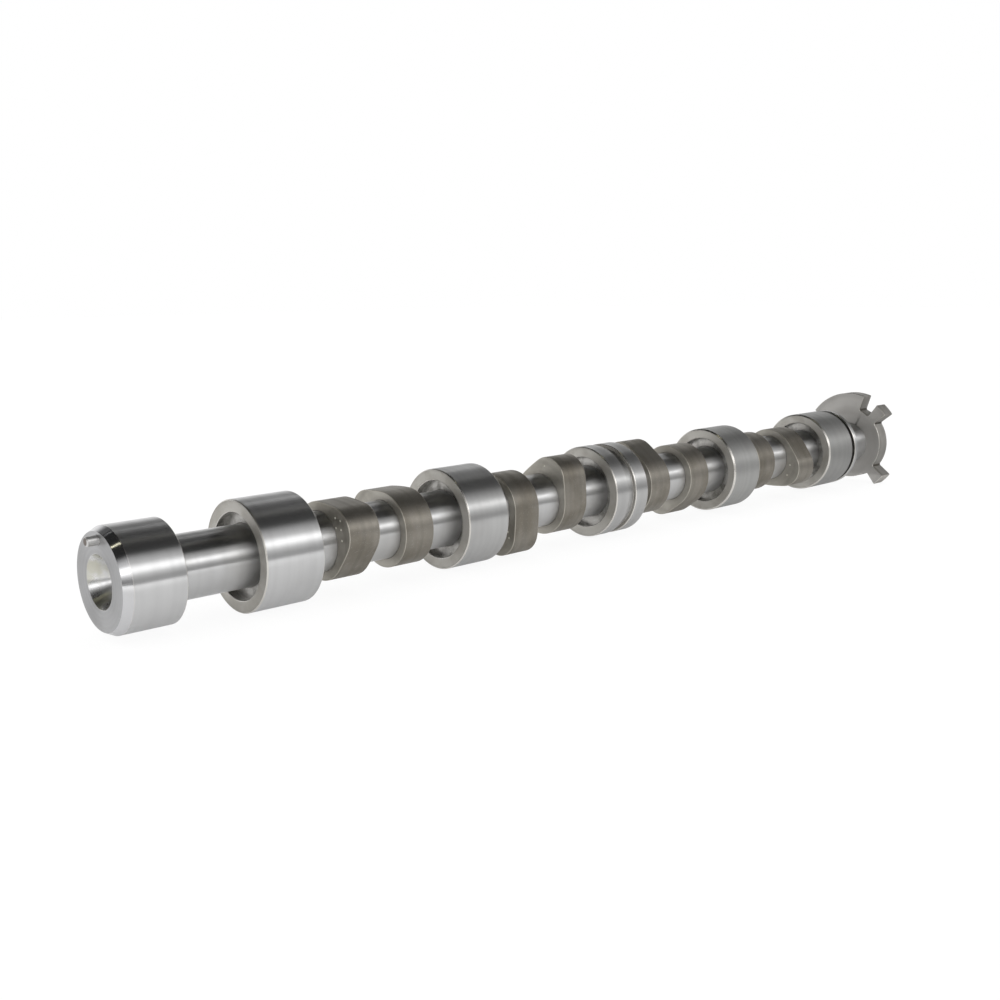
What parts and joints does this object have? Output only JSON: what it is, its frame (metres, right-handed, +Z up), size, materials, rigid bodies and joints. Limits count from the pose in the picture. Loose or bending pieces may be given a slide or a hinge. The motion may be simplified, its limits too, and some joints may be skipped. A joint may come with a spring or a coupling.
{
  "type": "camshaft",
  "caption": "Built-up engine camshaft: pressed journal rings, paired cam lobes and a toothed sensor wheel on a bright ground shaft, with an index dowel in front.",
  "frame": {"origin": "centre of the front face, on the shaft axis", "axes": "+X along the shaft axis, from the drive end to the sensor wheel; +Z up as the shaft lies on a bench on its second journal and two wheel teeth; +Y completes the frame"},
  "size_m": [0.556, 0.0538, 0.0609],
  "materials": {
    "ground_shaft_steel": "bright ground",
    "turned_front_steel": "ground outside, fine-turned front face",
    "dowel_steel": "bright ground",
    "journal_ring_steel": "ground outside, rough warm-grey faces",
    "cam_lobe_steel": "satin warm-grey, ground on the cam track",
    "sintered_wheel_steel": "dull dark grey"
  },
  "bodies": {
    "root": {"main_shaft": "ground_shaft_steel", "drive_end_journal": "turned_front_steel", "front_dowel_pin": "dowel_steel", "second_journal_ring": "journal_ring_steel", "third_journal_ring": "journal_ring_steel", "fourth_journal_ring": "journal_ring_steel", "fifth_journal_ring": "journal_ring_steel", "sixth_journal_ring": "journal_ring_steel", "cylinder_1_front_lobe": "cam_lobe_steel", "cylinder_1_rear_lobe": "cam_lobe_steel", "cylinder_2_front_lobe": "cam_lobe_steel", "cylinder_2_rear_lobe": "cam_lobe_steel", "cylinder_3_front_lobe": "cam_lobe_steel", "cylinder_3_rear_lobe": "cam_lobe_steel", "cylinder_4_front_lobe": "cam_lobe_steel", "cylinder_4_rear_lobe": "cam_lobe_steel", "sensor_wheel": "sintered_wheel_steel"}
  },
  "joints": []
}
